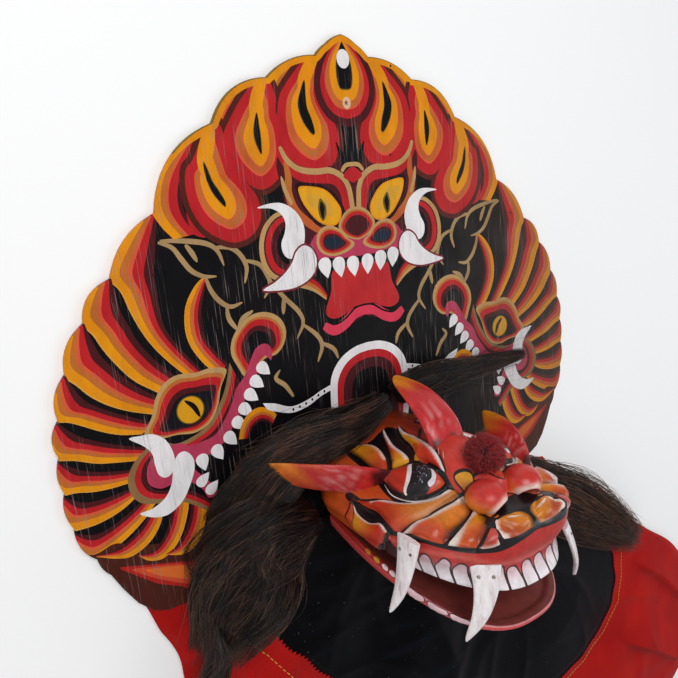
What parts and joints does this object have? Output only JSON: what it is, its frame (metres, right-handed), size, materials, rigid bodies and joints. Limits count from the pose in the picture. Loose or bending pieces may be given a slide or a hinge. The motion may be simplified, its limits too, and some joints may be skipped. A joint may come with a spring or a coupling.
{
  "type": "barongan mask",
  "caption": "Barongan mask lying on its back: scalloped painted crest board, carved horned head with a hinged lower jaw, yarn pom-pom, long hair and a draped cloth.",
  "frame": {"origin": "on the crest board's back face, in the mask's middle plane, level with the top of the painted arch above the horn's tip", "axes": "+Z from the board's back towards the snout (up, as the mask lies), +Y up the board to the crest's peak, +X to the viewer's right when facing the mask"},
  "size_m": [1.0464, 1.1542, 0.2385],
  "materials": {
    "crest_paint": "black enamel with painted ornament in red, maroon, orange, tan and white",
    "head_paint": "hand-painted satin enamel, orange to red with white and black lines",
    "jaw_paint": "hand-painted satin enamel, red rim and maroon inside",
    "horn_paint": "satin enamel, red to orange at the tips",
    "fang_paint": "white satin enamel",
    "red_yarn": "cut wool yarn",
    "dark_hair": "long dark hair",
    "brown_hair": "long brown hair",
    "black_satin": "black satin",
    "red_cloth": "red cotton with a pinked edge"
  },
  "bodies": {
    "mask": {"crest_board": "crest_paint", "head": "head_paint", "horn": "horn_paint", "ear_left": "horn_paint", "ear_right": "horn_paint", "fang_front_left": "fang_paint", "fang_front_right": "fang_paint", "fang_rear_left": "fang_paint", "fang_rear_right": "fang_paint", "pom_pom": "red_yarn", "crown_hair_left": "dark_hair", "crown_hair_right": "dark_hair", "side_hair_left": "dark_hair", "side_hair_right": "brown_hair", "cloth_black": "black_satin", "cloth_red_left": "red_cloth", "cloth_red_right": "red_cloth"},
    "jaw": {"jaw": "jaw_paint"}
  },
  "joints": [
    {"name": "jaw_hinge", "type": "hinge", "parent": "mask", "child": "jaw", "pos_m": [0, -0.16, 0.05], "axis": [-1, 0, 0], "range_deg": [0, 11.5]}
  ]
}
